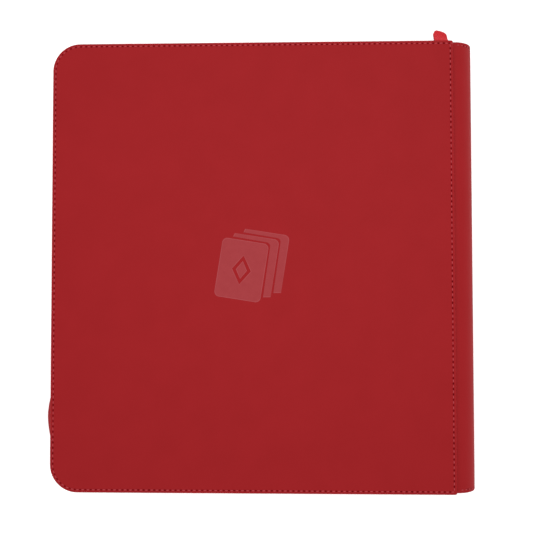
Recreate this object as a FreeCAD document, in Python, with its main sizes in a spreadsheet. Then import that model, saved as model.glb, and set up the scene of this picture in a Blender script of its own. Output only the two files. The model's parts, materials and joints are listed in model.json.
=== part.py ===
import FreeCAD, Part
import math
import os

import Sketcher
from FreeCAD import Placement, Rotation, Vector

# Zip-around trading card binder, lying closed on its back cover.
# Frame: origin at the centre of the back cover's outer face, +Z up through the closed
# binder, +X towards the spine, +Y towards the side that the zip slider is parked on.
# All sizes are in millimetres.

DIMENSIONS = {
    # covers
    "cover_width": 320.0,
    "cover_height": 357.6,
    "corner_radius": 22.0,
    "closed_thickness": 38.0,
    "cover_thickness": 3.0,
    "skin_thickness": 1.0,
    "board_thickness": 1.6,
    "lining_thickness": 0.4,
    "lining_margin": 1.2,
    # zip around the three free sides
    "zip_right_end": 159.5,
    "tape_inset": 2.3,
    "tape_thickness": 0.8,
    "flange_width": 8.7,
    "flange_thickness": 0.4,
    "tape_top": 17.4,
    "coil_inset": 1.8,
    "coil_width": 1.8,
    "coil_depth": 1.1,
    "stop_length": 1.1,
    "stop_proud": 0.2,
    # zip slider, parked beside the spine
    "slider_place": 154.0,
    "slider_length": 7.6,
    "slider_height": 5.6,
    "plate_thickness": 1.0,
    "slider_clearance": 0.3,
    "web_length": 5.0,
    "web_thickness": 0.4,
    "crown_inner_radius": 0.9,
    "crown_outer_radius": 1.8,
    "crown_width": 1.6,
    # pull tab and its woven ribbon
    "pull_lean": -3.0,
    "pin_radius": 0.5,
    "pin_length": 3.4,
    "arm_thickness": 0.6,
    "bail_width": 15.2,
    "bail_start": 2.2,
    "bail_rail": 1.0,
    "bail_thickness": 1.2,
    "bar_reach": 5.2,
    "bar_radius": 0.6,
    "ribbon_width": 11.0,
    "ribbon_shift": 0.3,
    "ribbon_length": 12.0,
    "ribbon_thickness": 2.2,
    "ribbon_eye_radius": 0.85,
    "ribbon_fold_radius": 1.75,
    "ribbon_corner": 3.2,
    "ribbon_droop": 30.0,
    # spine: five stiff slats on a half circle of six fold lines
    "spine_centre": 160.3,
    "fold_radius": 16.0,
    "slat_thickness": 1.2,
    "slat_length": 353.6,
    "fold_gap": 0.8,
    "spine_skin_inner": 16.5,
    "spine_skin_outer": 17.3,
    "spine_skin_length": 355.6,
    "spine_lining_inner": 14.1,
    "spine_lining_outer": 14.5,
    # pages
    "page_left": -149.0,
    "page_right": 150.0,
    "page_height": 308.0,
    "page_thickness": 0.7,
    "page_pitch": 1.5,
    "pocket_width": 66.5,
    "pocket_height": 93.0,
    "pocket_depth": 0.15,
    "column_pitch": 69.5,
    "row_pitch": 96.0,
    "outer_margin": 7.5,
    # where the pages are bound to the spine
    "gutter_thickness": 0.3,
    "gutter_pitch": 0.35,
    "binding_left": 170.4,
    "binding_right": 173.8,
    "binding_thickness": 7.6,
}

PAGE_COUNT = 20
SLAT_COUNT = 5
COLUMNS = 4
ROWS = 3

doc = FreeCAD.newDocument("card_binder")
dims = doc.addObject("Spreadsheet::Sheet", "dims")
for row, (alias, value) in enumerate(DIMENSIONS.items(), start=1):
    dims.set(f"A{row}", alias)
    dims.set(f"B{row}", str(value))
    dims.setAlias(f"B{row}", alias)
doc.recompute()

pieces = []


def size(alias):
    """The value of one driving dimension."""
    return float(getattr(dims, alias))


def keep(piece, label):
    """Names a finished sub-part and puts it on the list of pieces to write."""
    piece.Label = label
    pieces.append(piece)
    return piece


def origin_plane(body, role):
    """One of a body's own origin planes."""
    for feature in body.Origin.OriginFeatures:
        if feature.Role == role:
            return feature
    raise RuntimeError(f"no plane {role}")


def new_sketch(body, name, role="XY_Plane", offset=None):
    """A sketch on one of the body's origin planes, moved along its normal by an expression."""
    sketch = body.newObject("Sketcher::SketchObject", name)
    sketch.AttachmentSupport = [(origin_plane(body, role), "")]
    sketch.MapMode = "FlatFace"
    if offset:
        sketch.setExpression("AttachmentOffset.Base.z", offset)
    return sketch


def name_last(sketch, name, expression):
    """Names the newest constraint of a sketch and binds it to the sheet."""
    index = sketch.ConstraintCount - 1
    sketch.renameConstraint(index, name)
    sketch.setExpression(f"Constraints.{name}", expression)


def cover_outline(sketch, inset, right="dims.cover_width / 2"):
    """Closed outline like the cover's: rounded corners on the left, square ones on the right.

    inset is how far the outline stays inside the cover's edge, right is its right end."""
    line, arc = Part.LineSegment, Part.ArcOfCircle
    half, reach, radius = 100.0, 120.0, 20.0
    inner = reach - radius
    centres = Vector(-inner, -half + radius, 0), Vector(-inner, half - radius, 0)
    up = Vector(0, 0, 1)
    sketch.addGeometry(line(Vector(-inner, half, 0), Vector(reach, half, 0)))
    sketch.addGeometry(line(Vector(reach, half, 0), Vector(reach, -half, 0)))
    sketch.addGeometry(line(Vector(reach, -half, 0), Vector(-inner, -half, 0)))
    sketch.addGeometry(arc(Part.Circle(centres[0], up, radius), math.pi, 1.5 * math.pi))
    sketch.addGeometry(line(Vector(-reach, -half + radius, 0), Vector(-reach, half - radius, 0)))
    sketch.addGeometry(arc(Part.Circle(centres[1], up, radius), 0.5 * math.pi, math.pi))
    top, right_side, bottom, low_arc, left, high_arc = range(6)
    start, end, origin = 1, 2, -1
    for first, first_end, second, second_end in (
        (top, end, right_side, start),
        (right_side, end, bottom, start),
    ):
        sketch.addConstraint(
            Sketcher.Constraint("Coincident", first, first_end, second, second_end)
        )
    for first, first_end, second, second_end in (
        (bottom, end, low_arc, end),
        (low_arc, start, left, start),
        (left, end, high_arc, end),
        (high_arc, start, top, start),
    ):
        sketch.addConstraint(Sketcher.Constraint("Tangent", first, first_end, second, second_end))
    sketch.addConstraint(Sketcher.Constraint("Horizontal", top))
    sketch.addConstraint(Sketcher.Constraint("Horizontal", bottom))
    sketch.addConstraint(Sketcher.Constraint("Vertical", right_side))
    sketch.addConstraint(Sketcher.Constraint("Vertical", left))
    sketch.addConstraint(Sketcher.Constraint("Equal", low_arc, high_arc))
    sketch.addConstraint(Sketcher.Constraint("Radius", low_arc, radius))
    name_last(sketch, "corner", f"dims.corner_radius - ({inset})")
    sketch.addConstraint(Sketcher.Constraint("DistanceX", left, start, origin, start, reach))
    name_last(sketch, "left_reach", f"dims.cover_width / 2 - ({inset})")
    sketch.addConstraint(Sketcher.Constraint("DistanceX", origin, start, top, end, reach))
    name_last(sketch, "right_reach", right)
    sketch.addConstraint(Sketcher.Constraint("DistanceY", origin, start, top, end, half))
    name_last(sketch, "half_height", f"dims.cover_height / 2 - ({inset})")
    sketch.addConstraint(Sketcher.Constraint("DistanceY", bottom, start, origin, start, half))
    name_last(sketch, "lower_half", f"dims.cover_height / 2 - ({inset})")
    return sketch


def rectangle(sketch, left, right, low, high):
    """A closed rectangle whose four sides sit at expressions measured from the origin."""
    guesses = (-3.0, 3.0, -2.0, 2.0)
    corners = [
        Vector(guesses[0], guesses[2], 0),
        Vector(guesses[1], guesses[2], 0),
        Vector(guesses[1], guesses[3], 0),
        Vector(guesses[0], guesses[3], 0),
    ]
    for index in range(4):
        sketch.addGeometry(Part.LineSegment(corners[index], corners[(index + 1) % 4]))
    for index in range(4):
        sketch.addConstraint(Sketcher.Constraint("Coincident", index, 2, (index + 1) % 4, 1))
    for index, direction in enumerate(("Horizontal", "Vertical", "Horizontal", "Vertical")):
        sketch.addConstraint(Sketcher.Constraint(direction, index))
    places = (
        ("left_side", "DistanceX", 0, 1, guesses[0], left),
        ("right_side", "DistanceX", 0, 2, guesses[1], right),
        ("low_side", "DistanceY", 0, 1, guesses[2], low),
        ("high_side", "DistanceY", 2, 1, guesses[3], high),
    )
    for name, kind, edge, end, guess, expression in places:
        sketch.addConstraint(Sketcher.Constraint(kind, -1, 1, edge, end, guess))
        name_last(sketch, name, expression)
    return sketch


def pad(body, sketch, name, length):
    """Raises a sketch by an expression along its normal."""
    feature = body.newObject("PartDesign::Pad", name)
    feature.Profile = sketch
    feature.setExpression("Length", length)
    body.Tip = feature
    return feature


def pocket(body, sketch, name, depth, reverse=False):
    """Cuts a sketch into the body and makes sure that something was cut."""
    doc.recompute()
    before = body.Shape.Volume
    feature = body.newObject("PartDesign::Pocket", name)
    feature.Profile = sketch
    feature.Reversed = reverse
    feature.setExpression("Length", depth)
    body.Tip = feature
    doc.recompute()
    if body.Shape.Volume > before - 1e-6:
        raise RuntimeError(f"{body.Label}: pocket {name} cut nothing")
    return feature


def fold_over(piece):
    """Turns a back cover piece about the X axis into its front cover twin."""
    piece.Placement = Placement(Vector(0, 0, size("closed_thickness")), Rotation(Vector(1, 0, 0), 180))
    piece.setExpression("Placement.Base.z", "dims.closed_thickness")


def cover_skin(side):
    """Leatherette tray: the outer face with its turned edge standing round the board."""
    body = doc.addObject("PartDesign::Body", f"{side}_cover_skin")
    pad(body, cover_outline(new_sketch(body, "outline"), "0"), "leather", "dims.cover_thickness")
    inside = new_sketch(body, "inside", offset="dims.cover_thickness")
    cover_outline(
        inside, "dims.skin_thickness", "dims.cover_width / 2 - dims.skin_thickness"
    )
    pocket(body, inside, "tray", "dims.cover_thickness - dims.skin_thickness")
    return body


def cover_sheet(side, name, base, thickness):
    """A flat sheet that lies inside the turned edge of the cover skin."""
    body = doc.addObject("PartDesign::Body", f"{side}_{name}")
    outline = new_sketch(body, "outline", offset=base)
    cover_outline(outline, "dims.lining_margin", "dims.cover_width / 2 - dims.lining_margin")
    pad(body, outline, "sheet", thickness)
    return body


def zip_tape(side):
    """Woven tape: a flange sewn to the cover and a wall standing along its three free sides."""
    body = doc.addObject("PartDesign::Body", f"{side}_zip_tape")
    inset = "dims.tape_inset"
    wall_inset = "dims.tape_inset + dims.tape_thickness"
    right = "dims.zip_right_end"
    beyond = "dims.zip_right_end + 10"
    base = "dims.cover_thickness"
    outline = cover_outline(new_sketch(body, "outline", offset=base), inset, right)
    pad(body, outline, "wall", f"dims.tape_top - {base}")
    hollow = new_sketch(body, "hollow", offset="dims.tape_top")
    cover_outline(hollow, wall_inset, beyond)
    pocket(body, hollow, "wall_inside", f"dims.tape_top - {base} - dims.flange_thickness")
    opening = new_sketch(body, "opening", offset=f"{base} + dims.flange_thickness")
    cover_outline(opening, "dims.tape_inset + dims.flange_width", beyond)
    pocket(body, opening, "flange_inside", "dims.flange_thickness")
    return body


def zip_coil(side):
    """The nylon coil along the free edge of the tape."""
    body = doc.addObject("PartDesign::Body", f"{side}_zip_coil")
    right = "dims.zip_right_end - dims.stop_length"
    outline = new_sketch(body, "outline", offset="dims.tape_top")
    pad(body, cover_outline(outline, "dims.coil_inset", right), "coil", "dims.coil_depth")
    hollow = new_sketch(body, "hollow", offset="dims.tape_top + dims.coil_depth")
    cover_outline(hollow, "dims.coil_inset + dims.coil_width", "dims.zip_right_end + 10")
    pocket(body, hollow, "inside", "dims.coil_depth")
    return body


def zip_stops(side):
    """The two crimped stops at the ends of one coil, one on each side of the spine."""
    width = "(dims.coil_width + 2 * dims.stop_proud)"
    outer = "(dims.cover_height / 2 - dims.coil_inset + dims.stop_proud)"
    stops = []
    for end, low in (("upper", f"{outer} - {width}"), ("lower", f"-{outer}")):
        stop = box(f"{side}_{end}_stop", "dims.stop_length", width, "dims.coil_depth + dims.stop_proud")
        stop.setExpression("Placement.Base.x", "dims.zip_right_end - dims.stop_length")
        stop.setExpression("Placement.Base.y", low)
        stop.setExpression("Placement.Base.z", "dims.tape_top")
        stops.append(stop)
    pair = doc.addObject("Part::Compound", f"{side}_zip_stops")
    pair.Links = stops
    return pair


def box(name, length, width, height, at=(0.0, 0.0, 0.0)):
    """A box with its lowest corner at a place, its three sides bound to expressions."""
    block = doc.addObject("Part::Box", name)
    block.setExpression("Length", length)
    block.setExpression("Width", width)
    block.setExpression("Height", height)
    block.Placement = Placement(Vector(*at), Rotation())
    return block


def cylinder(name, radius, height, at=(0.0, 0.0, 0.0), turn=None):
    """A cylinder from a place, along +Z unless it is turned."""
    rod = doc.addObject("Part::Cylinder", name)
    rod.setExpression("Radius", radius)
    rod.setExpression("Height", height)
    rod.Placement = Placement(Vector(*at), turn or Rotation())
    return rod


def fuse(name, shapes):
    """One solid from several overlapping ones."""
    joined = doc.addObject("Part::MultiFuse", name)
    joined.Shapes = shapes
    joined.Refine = True
    return joined


def cut(name, base, tool):
    """A shape with another taken out of it."""
    result = doc.addObject("Part::Cut", name)
    result.Base = base
    result.Tool = tool
    return result


def coil_faces():
    """Distance of the coil's inner and outer face from the binder's middle line."""
    outer = size("cover_height") / 2 - size("coil_inset")
    return outer - size("coil_width"), outer


def zip_slider():
    """Slider: a plate on each side of the coils, a thin web between them and a crown."""
    inner, outer = coil_faces()
    clear, plate = size("slider_clearance"), size("plate_thickness")
    length, tall = size("slider_length"), size("slider_height")
    middle = size("closed_thickness") / 2
    place = size("slider_place")
    shapes = []
    plate_places = ((inner - clear - plate, "inner_plate"), (outer + clear, "outer_plate"))
    for low, name in plate_places:
        at = (place - length / 2, low, middle - tall / 2)
        shapes.append(
            box(name, "dims.slider_length", "dims.plate_thickness", "dims.slider_height", at)
        )
    at = (place - size("web_length") / 2, inner - clear - plate / 2, middle - size("web_thickness") / 2)
    depth = "dims.coil_width + 2 * dims.slider_clearance + dims.plate_thickness"
    shapes.append(box("web", "dims.web_length", depth, "dims.web_thickness", at))
    pivot = pull_pivot()
    low = pivot.z - size("crown_width") / 2
    ring = cylinder("crown_ring", "dims.crown_outer_radius", "dims.crown_width", (pivot.x, pivot.y, low))
    hole = cylinder("crown_hole", "dims.crown_inner_radius", "dims.crown_width", (pivot.x, pivot.y, low))
    arch = cut("crown_arch", ring, hole)
    face = outer + clear
    behind = box(
        "behind_plate",
        "4 * dims.crown_outer_radius",
        "4 * dims.crown_outer_radius",
        "4 * dims.crown_width",
        (
            pivot.x - 2 * size("crown_outer_radius"),
            face + plate / 2 - 4 * size("crown_outer_radius"),
            low - size("crown_width"),
        ),
    )
    shapes.append(cut("crown", arch, behind))
    return fuse("zip_slider", shapes)


def pull_pivot():
    """Centre of the pin that the pull tab swings on, just outside the slider's plate."""
    face = coil_faces()[1] + size("slider_clearance") + size("plate_thickness")
    return Vector(size("slider_place"), face + size("crown_inner_radius"), size("closed_thickness") / 2)


def pull_placement():
    """The pull tab leans a little away from the spine."""
    return Placement(pull_pivot(), Rotation(Vector(0, 0, 1), size("pull_lean")))


def zip_pull():
    """Pull tab: a pin under the crown, two arms, and a bail whose far bar holds the ribbon."""
    pin_length, arm = size("pin_length"), size("arm_thickness")
    start, rail = size("bail_start"), size("bail_rail")
    wide, thick = size("bail_width"), size("bail_thickness")
    reach = size("bar_reach")
    pin_radius = size("pin_radius")
    shapes = [cylinder("pin", "dims.pin_radius", "dims.pin_length", (0, 0, -pin_length / 2))]
    for name, low in (("low_arm", -pin_length / 2), ("high_arm", pin_length / 2 - arm)):
        shapes.append(
            box(
                name,
                "2 * dims.pin_radius",
                "dims.bail_start + dims.bail_rail",
                "dims.arm_thickness",
                (-pin_radius, 0, low),
            )
        )
    shapes.append(
        box(
            "knuckle",
            "2 * dims.pin_radius",
            "dims.bail_rail",
            "dims.pin_length",
            (-pin_radius, start, -pin_length / 2),
        )
    )
    shapes.append(
        box("cross_rail", "dims.bail_width", "dims.bail_rail", "dims.bail_thickness",
            (-wide / 2, start, -thick / 2))
    )
    for name, left in (("left_rail", -wide / 2), ("right_rail", wide / 2 - rail)):
        shapes.append(
            box(name, "dims.bail_rail", "dims.bar_reach - dims.bail_start", "dims.bail_thickness",
                (left, start, -thick / 2))
        )
    along_x = Rotation(Vector(0, 1, 0), 90)
    shapes.append(cylinder("bar", "dims.bar_radius", "dims.bail_width", (-wide / 2, reach, 0), along_x))
    pull = fuse("zip_pull", shapes)
    pull.Placement = pull_placement()
    return pull


def pull_ribbon():
    """Woven ribbon folded round the bar and sewn to itself, with its far corners rounded."""
    wide, thick = size("ribbon_width"), size("ribbon_thickness")
    along_x = Rotation(Vector(0, 1, 0), 90)
    fold = cylinder(
        "ribbon_fold", "dims.ribbon_fold_radius", "dims.ribbon_width", (-wide / 2, 0, 0), along_x
    )
    tongue = box(
        "ribbon_tongue",
        "dims.ribbon_width",
        "dims.ribbon_length",
        "dims.ribbon_thickness",
        (-wide / 2, 0, -thick / 2),
    )
    rounded = doc.addObject("Part::Fillet", "ribbon_tip")
    rounded.Base = tongue
    doc.recompute()
    corner = size("ribbon_corner")
    tip_edges = []
    for index, edge in enumerate(tongue.Shape.Edges, start=1):
        upright = abs(edge.BoundBox.ZLength - thick) < 1e-6
        at_tip = edge.BoundBox.YMin > size("ribbon_length") - 1e-6
        if upright and at_tip:
            tip_edges.append((index, corner, corner))
    rounded.Edges = tip_edges
    eye = cylinder(
        "ribbon_eye", "dims.ribbon_eye_radius", "dims.ribbon_width", (-wide / 2, 0, 0), along_x
    )
    ribbon = cut("pull_ribbon", fuse("ribbon_body", [fold, rounded]), eye)
    at_bar = Placement(
        Vector(size("ribbon_shift"), size("bar_reach"), 0),
        Rotation(Vector(1, 0, 0), -size("ribbon_droop")),
    )
    ribbon.Placement = pull_placement().multiply(at_bar)
    return ribbon


def fold_angle(index):
    """Angle of one fold line of the spine on its half circle, from the back cover's upwards."""
    return math.radians(-90 + 180 / SLAT_COUNT * index)


def spine_slat(number):
    """One stiffener of the spine, a flat slat between two fold lines."""
    half_step = math.pi / SLAT_COUNT / 2
    middle = fold_angle(number - 1) + half_step
    distance = size("fold_radius") * math.cos(half_step)
    chord = 2 * size("fold_radius") * math.sin(half_step)
    slat = doc.addObject("Part::Box", f"spine_slat_{number}")
    slat.setExpression("Length", "dims.slat_thickness")
    slat.setExpression("Width", "dims.slat_length")
    slat.setExpression("Height", f"2 * dims.fold_radius * sin({180 / SLAT_COUNT / 2}) - 2 * dims.fold_gap")
    centre = Vector(size("spine_centre"), 0, size("closed_thickness") / 2)
    turn = Rotation(Vector(0, 1, 0), -math.degrees(middle))
    corner = Vector(
        distance - size("slat_thickness") / 2,
        -size("slat_length") / 2,
        -(chord / 2 - size("fold_gap")),
    )
    slat.Placement = Placement(centre + turn.multVec(corner), turn)
    return slat


def spine_shell(name, inner, outer):
    """A half round sheet over the whole spine, from fold line to fold line."""
    body = doc.addObject("PartDesign::Body", name)
    sketch = new_sketch(body, "section", role="XZ_Plane")
    middle = size("closed_thickness") / 2
    centre = Vector(size("spine_centre"), middle, 0)
    radii = (size(outer), size(inner))
    for radius in radii:
        circle = Part.Circle(centre, Vector(0, 0, 1), radius)
        sketch.addGeometry(Part.ArcOfCircle(circle, -math.pi / 2, math.pi / 2))
    for sign in (-1, 1):
        ends = [Vector(centre.x, middle + sign * radius, 0) for radius in radii]
        sketch.addGeometry(Part.LineSegment(*ends))
    big, small, low, high = range(4)
    for first, first_end, second, second_end in (
        (big, 1, low, 1),
        (small, 1, low, 2),
        (big, 2, high, 1),
        (small, 2, high, 2),
    ):
        sketch.addConstraint(
            Sketcher.Constraint("Coincident", first, first_end, second, second_end)
        )
    sketch.addConstraint(Sketcher.Constraint("Coincident", big, 3, small, 3))
    sketch.addConstraint(Sketcher.Constraint("Vertical", low))
    sketch.addConstraint(Sketcher.Constraint("Vertical", high))
    sketch.addConstraint(Sketcher.Constraint("PointOnObject", big, 3, low))
    for name_of, kind, edge, value, expression in (
        ("outer_radius", "Radius", big, radii[0], f"dims.{outer}"),
        ("inner_radius", "Radius", small, radii[1], f"dims.{inner}"),
    ):
        sketch.addConstraint(Sketcher.Constraint(kind, edge, value))
        name_last(sketch, name_of, expression)
    sketch.addConstraint(Sketcher.Constraint("DistanceX", -1, 1, big, 3, centre.x))
    name_last(sketch, "centre_along", "dims.spine_centre")
    sketch.addConstraint(Sketcher.Constraint("DistanceY", -1, 1, big, 3, centre.y))
    name_last(sketch, "centre_up", "dims.closed_thickness / 2")
    shell = pad(body, sketch, "shell", "dims.spine_skin_length")
    shell.SideType = "Symmetric"
    return body


def binding_strip():
    """The bar in the middle of the spine that clamps the inner edges of all pages."""
    strip = box(
        "page_binding_strip",
        "dims.binding_right - dims.binding_left",
        "dims.page_height",
        "dims.binding_thickness",
    )
    strip.setExpression("Placement.Base.x", "dims.binding_left")
    strip.setExpression("Placement.Base.y", "-dims.page_height / 2")
    strip.setExpression("Placement.Base.z", "(dims.closed_thickness - dims.binding_thickness) / 2")
    return strip


def steps_from_middle(number):
    """How many page steps a page lies above the middle of the stack, page 1 on top."""
    return (PAGE_COUNT + 1) / 2 - number


def page(number):
    """One page: a backing sheet with a grid of card pockets sunk into both of its faces."""
    body = doc.addObject("PartDesign::Body", f"page_{number:02d}")
    rise = steps_from_middle(number)
    low = f"dims.closed_thickness / 2 + {rise} * dims.page_pitch - dims.page_thickness / 2"
    sheet = new_sketch(body, "sheet", offset=low)
    rectangle(
        sheet, "dims.page_left", "dims.page_right", "-dims.page_height / 2", "dims.page_height / 2"
    )
    pad(body, sheet, "backing", "dims.page_thickness")
    first_left = "dims.page_left + dims.outer_margin"
    margin = f"(dims.page_height - {ROWS - 1} * dims.row_pitch - dims.pocket_height) / 2"
    first_low = f"-dims.page_height / 2 + {margin}"
    for face, offset, reverse in (
        ("front", f"{low} + dims.page_thickness", False),
        ("back", low, True),
    ):
        cell = new_sketch(body, f"{face}_cell", offset=offset)
        rectangle(
            cell,
            first_left,
            f"{first_left} + dims.pocket_width",
            first_low,
            f"{first_low} + dims.pocket_height",
        )
        first = pocket(body, cell, f"{face}_pocket", "dims.pocket_depth", reverse)
        grid = body.newObject("PartDesign::LinearPattern", f"{face}_grid")
        grid.Originals = [first]
        grid.Direction = (cell, ["H_Axis"])
        grid.Direction2 = (cell, ["V_Axis"])
        grid.Occurrences = COLUMNS
        grid.Occurrences2 = ROWS
        grid.setExpression("Length", f"{COLUMNS - 1} * dims.column_pitch")
        grid.setExpression("Length2", f"{ROWS - 1} * dims.row_pitch")
        body.Tip = grid
    return body


def gutter_leaf(number):
    """The flexible strip that joins a page to its slot in the binding strip."""
    rise = steps_from_middle(number)
    middle = size("closed_thickness") / 2
    half = size("gutter_thickness") / 2
    at_page = middle + rise * size("page_pitch")
    at_spine = middle + rise * size("gutter_pitch")
    low = -size("page_height") / 2
    corners = [
        Vector(size("page_right"), low, at_page - half),
        Vector(size("binding_left"), low, at_spine - half),
        Vector(size("binding_left"), low, at_spine + half),
        Vector(size("page_right"), low, at_page + half),
    ]
    section = Part.Face(Part.makePolygon(corners + corners[:1]))
    return section.extrude(Vector(0, size("page_height"), 0))


def page_gutters():
    """All gutter strips, each a solid of its own."""
    leaves = doc.addObject("Part::Feature", "page_gutters")
    leaves.Shape = Part.makeCompound([gutter_leaf(number) for number in range(1, PAGE_COUNT + 1)])
    return leaves


def build_cover(side):
    """All pieces of one cover, in the place that they have on the back cover."""
    board_base = "dims.skin_thickness"
    lining_base = "dims.skin_thickness + dims.board_thickness"
    return [
        keep(cover_skin(side), f"{side}_cover_skin"),
        keep(cover_sheet(side, "cover_board", board_base, "dims.board_thickness"), f"{side}_cover_board"),
        keep(cover_sheet(side, "cover_lining", lining_base, "dims.lining_thickness"), f"{side}_cover_lining"),
        keep(zip_tape(side), f"{side}_zip_tape"),
        keep(zip_coil(side), f"{side}_zip_coil"),
        keep(zip_stops(side), f"{side}_zip_stops"),
    ]


build_cover("back")
for front_piece in build_cover("front"):
    fold_over(front_piece)
keep(zip_slider(), "zip_slider")
keep(zip_pull(), "zip_pull")
keep(pull_ribbon(), "pull_ribbon")
for slat_number in range(1, SLAT_COUNT + 1):
    keep(spine_slat(slat_number), f"spine_slat_{slat_number}")
keep(spine_shell("spine_skin", "spine_skin_inner", "spine_skin_outer"), "spine_skin")
keep(spine_shell("spine_lining", "spine_lining_inner", "spine_lining_outer"), "spine_lining")
keep(binding_strip(), "page_binding_strip")
keep(page_gutters(), "page_gutters")
for page_number in range(1, PAGE_COUNT + 1):
    keep(page(page_number), f"page_{page_number:02d}")

doc.recompute()
for item in doc.Objects:
    if "Invalid" in item.State or "Error" in item.State:
        raise RuntimeError(f"{item.Label} failed: {item.State}")
for piece in pieces:
    if piece.Shape.isNull() or not piece.Shape.isValid():
        raise RuntimeError(f"{piece.Label} has no valid shape")

os.makedirs("parts", exist_ok=True)
for piece in pieces:
    piece.Shape.exportStep(f"parts/{piece.Label}.step")
    print(piece.Label, len(piece.Shape.Solids), round(piece.Shape.Volume, 1))
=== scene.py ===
"""Looks of the zip-around trading card binder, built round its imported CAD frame, in metres.

The binder lies closed on its back cover: +Z up, +X towards the spine, +Y along the spine."""

import itertools
import json
import math
import random

import bpy
import numpy as np
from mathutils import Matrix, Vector


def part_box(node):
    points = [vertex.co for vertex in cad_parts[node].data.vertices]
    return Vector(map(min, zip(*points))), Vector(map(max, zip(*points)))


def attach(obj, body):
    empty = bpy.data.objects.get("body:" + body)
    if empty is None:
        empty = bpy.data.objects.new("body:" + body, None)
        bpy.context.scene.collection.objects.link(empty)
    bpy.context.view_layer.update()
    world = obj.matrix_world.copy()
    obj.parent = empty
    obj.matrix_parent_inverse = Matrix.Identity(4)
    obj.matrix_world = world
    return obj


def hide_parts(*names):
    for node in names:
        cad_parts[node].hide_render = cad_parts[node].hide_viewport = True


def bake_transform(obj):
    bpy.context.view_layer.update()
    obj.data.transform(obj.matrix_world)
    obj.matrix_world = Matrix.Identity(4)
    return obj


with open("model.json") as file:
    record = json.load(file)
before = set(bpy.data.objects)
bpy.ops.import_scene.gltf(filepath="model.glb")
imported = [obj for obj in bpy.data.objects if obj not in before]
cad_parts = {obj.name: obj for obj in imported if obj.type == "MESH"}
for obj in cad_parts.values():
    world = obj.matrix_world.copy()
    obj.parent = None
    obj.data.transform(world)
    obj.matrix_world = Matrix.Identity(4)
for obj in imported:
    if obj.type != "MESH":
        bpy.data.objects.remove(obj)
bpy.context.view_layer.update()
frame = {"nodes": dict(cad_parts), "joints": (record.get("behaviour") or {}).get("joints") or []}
nodes = frame["nodes"]
mm = 0.001


def joint(name):
    return next(one for one in frame["joints"] if one["name"] == name)


# ---- sizes read from the frame
COVER_LOW, COVER_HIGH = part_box("front_cover_skin")
HALF_WIDTH, HALF_HEIGHT, CLOSED = COVER_HIGH
COVER_THICKNESS = COVER_HIGH.z - COVER_LOW.z
SPINE_LOW, SPINE_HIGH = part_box("spine_skin")
SPINE_OUTER = (SPINE_HIGH.z - SPINE_LOW.z) / 2
SPINE_X = SPINE_HIGH.x - SPINE_OUTER
SPINE_HALF = SPINE_HIGH.y
LINING_LOW, LINING_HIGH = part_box("spine_lining")
LINING_OUTER = (LINING_HIGH.z - LINING_LOW.z) / 2
COIL_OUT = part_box("back_zip_coil")[1].y
ZIP_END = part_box("back_zip_tape")[1].x
STRIP_LOW, STRIP_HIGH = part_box("page_binding_strip")
PAGE_COUNT = sum(1 for name in nodes if name.startswith("page_") and name[5:].isdigit())
PULL_PIVOT = Vector(joint("pull_swing")["pos_m"])
RIBBON_BAR = Vector(joint("ribbon_droop")["pos_m"])
RIBBON_AXIS = Vector(joint("ribbon_droop")["axis"])

# ---- sizes of the soft goods
CORNER = 22 * mm
SEAM_CORNER = 1.6 * mm
SHARP = 0.05 * mm
STITCH_INSET = 2.5 * mm
STITCH_PITCH = 4.2 * mm
ROW_END = 1.2 * mm
GROOVE = 0.32 * mm
SPINE_THICKNESS = 0.8 * mm
LINING_THICKNESS = 0.4 * mm
SLATS = 5
STEP = math.pi / SLATS
TAPE_OUTER = 2.3 * mm
COIL_INSET = 2.7 * mm
TOOTH_PITCH = 1.6 * mm
COIL_START = 3.4 * mm


# ---- mesh helpers
def quads(rows, columns, wrap_rows=False, wrap_columns=False):
    """Faces of a grid of points stored row by row."""
    faces = []
    for r in range(rows if wrap_rows else rows - 1):
        for c in range(columns if wrap_columns else columns - 1):
            a, b = r * columns, ((r + 1) % rows) * columns
            d = (c + 1) % columns
            faces.append((a + c, a + d, b + d, b + c))
    return faces


def loft(rows, columns, flip=False):
    """Faces of a closed loft: a grid wrapped round, with a face over each end."""
    first, last = range(columns), range((rows - 1) * columns, rows * columns)
    ends = (first[::-1], last) if flip else (first, last[::-1])
    return quads(rows, columns, wrap_columns=True) + [tuple(end) for end in ends]


def put_in_scene(name, data):
    thing = bpy.data.objects.new(name, data)
    bpy.context.scene.collection.objects.link(thing)
    return thing


def piece(name, points, faces, finish, sharp=40, along=None, slots=None):
    """A mesh object. along is a coordinate per point, in metres, for the woven materials."""
    mesh = bpy.data.meshes.new(name)
    mesh.from_pydata([tuple(p) for p in points], [], faces)
    for one in finish if isinstance(finish, (list, tuple)) else [finish]:
        mesh.materials.append(one)
    if slots is not None:
        mesh.polygons.foreach_set("material_index", np.asarray(slots, np.int32))
    if along is not None:
        attribute = mesh.attributes.new("along", "FLOAT_VECTOR", "POINT")
        attribute.data.foreach_set("vector", np.asarray(along, np.float32).ravel())
    mesh.validate()
    mesh.shade_smooth()
    mesh.set_sharp_from_angle(angle=math.radians(sharp))
    return put_in_scene(name, mesh)


class Parts:
    """Gathers many small shapes into one mesh."""

    def __init__(self):
        self.points, self.faces, self.slots, self.along = [], [], [], []

    def add(self, points, faces, slot=0, along=None):
        start = len(self.points)
        self.points.extend(map(tuple, points))
        self.faces.extend(tuple(start + i for i in face) for face in faces)
        self.slots.extend([slot] * len(faces) if isinstance(slot, int) else slot)
        if along is None:
            along = np.zeros((len(points), 3))
        self.along.extend(map(tuple, along))

    def piece(self, name, finish, sharp=40):
        return piece(name, self.points, self.faces, finish, sharp, self.along, self.slots)


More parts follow.
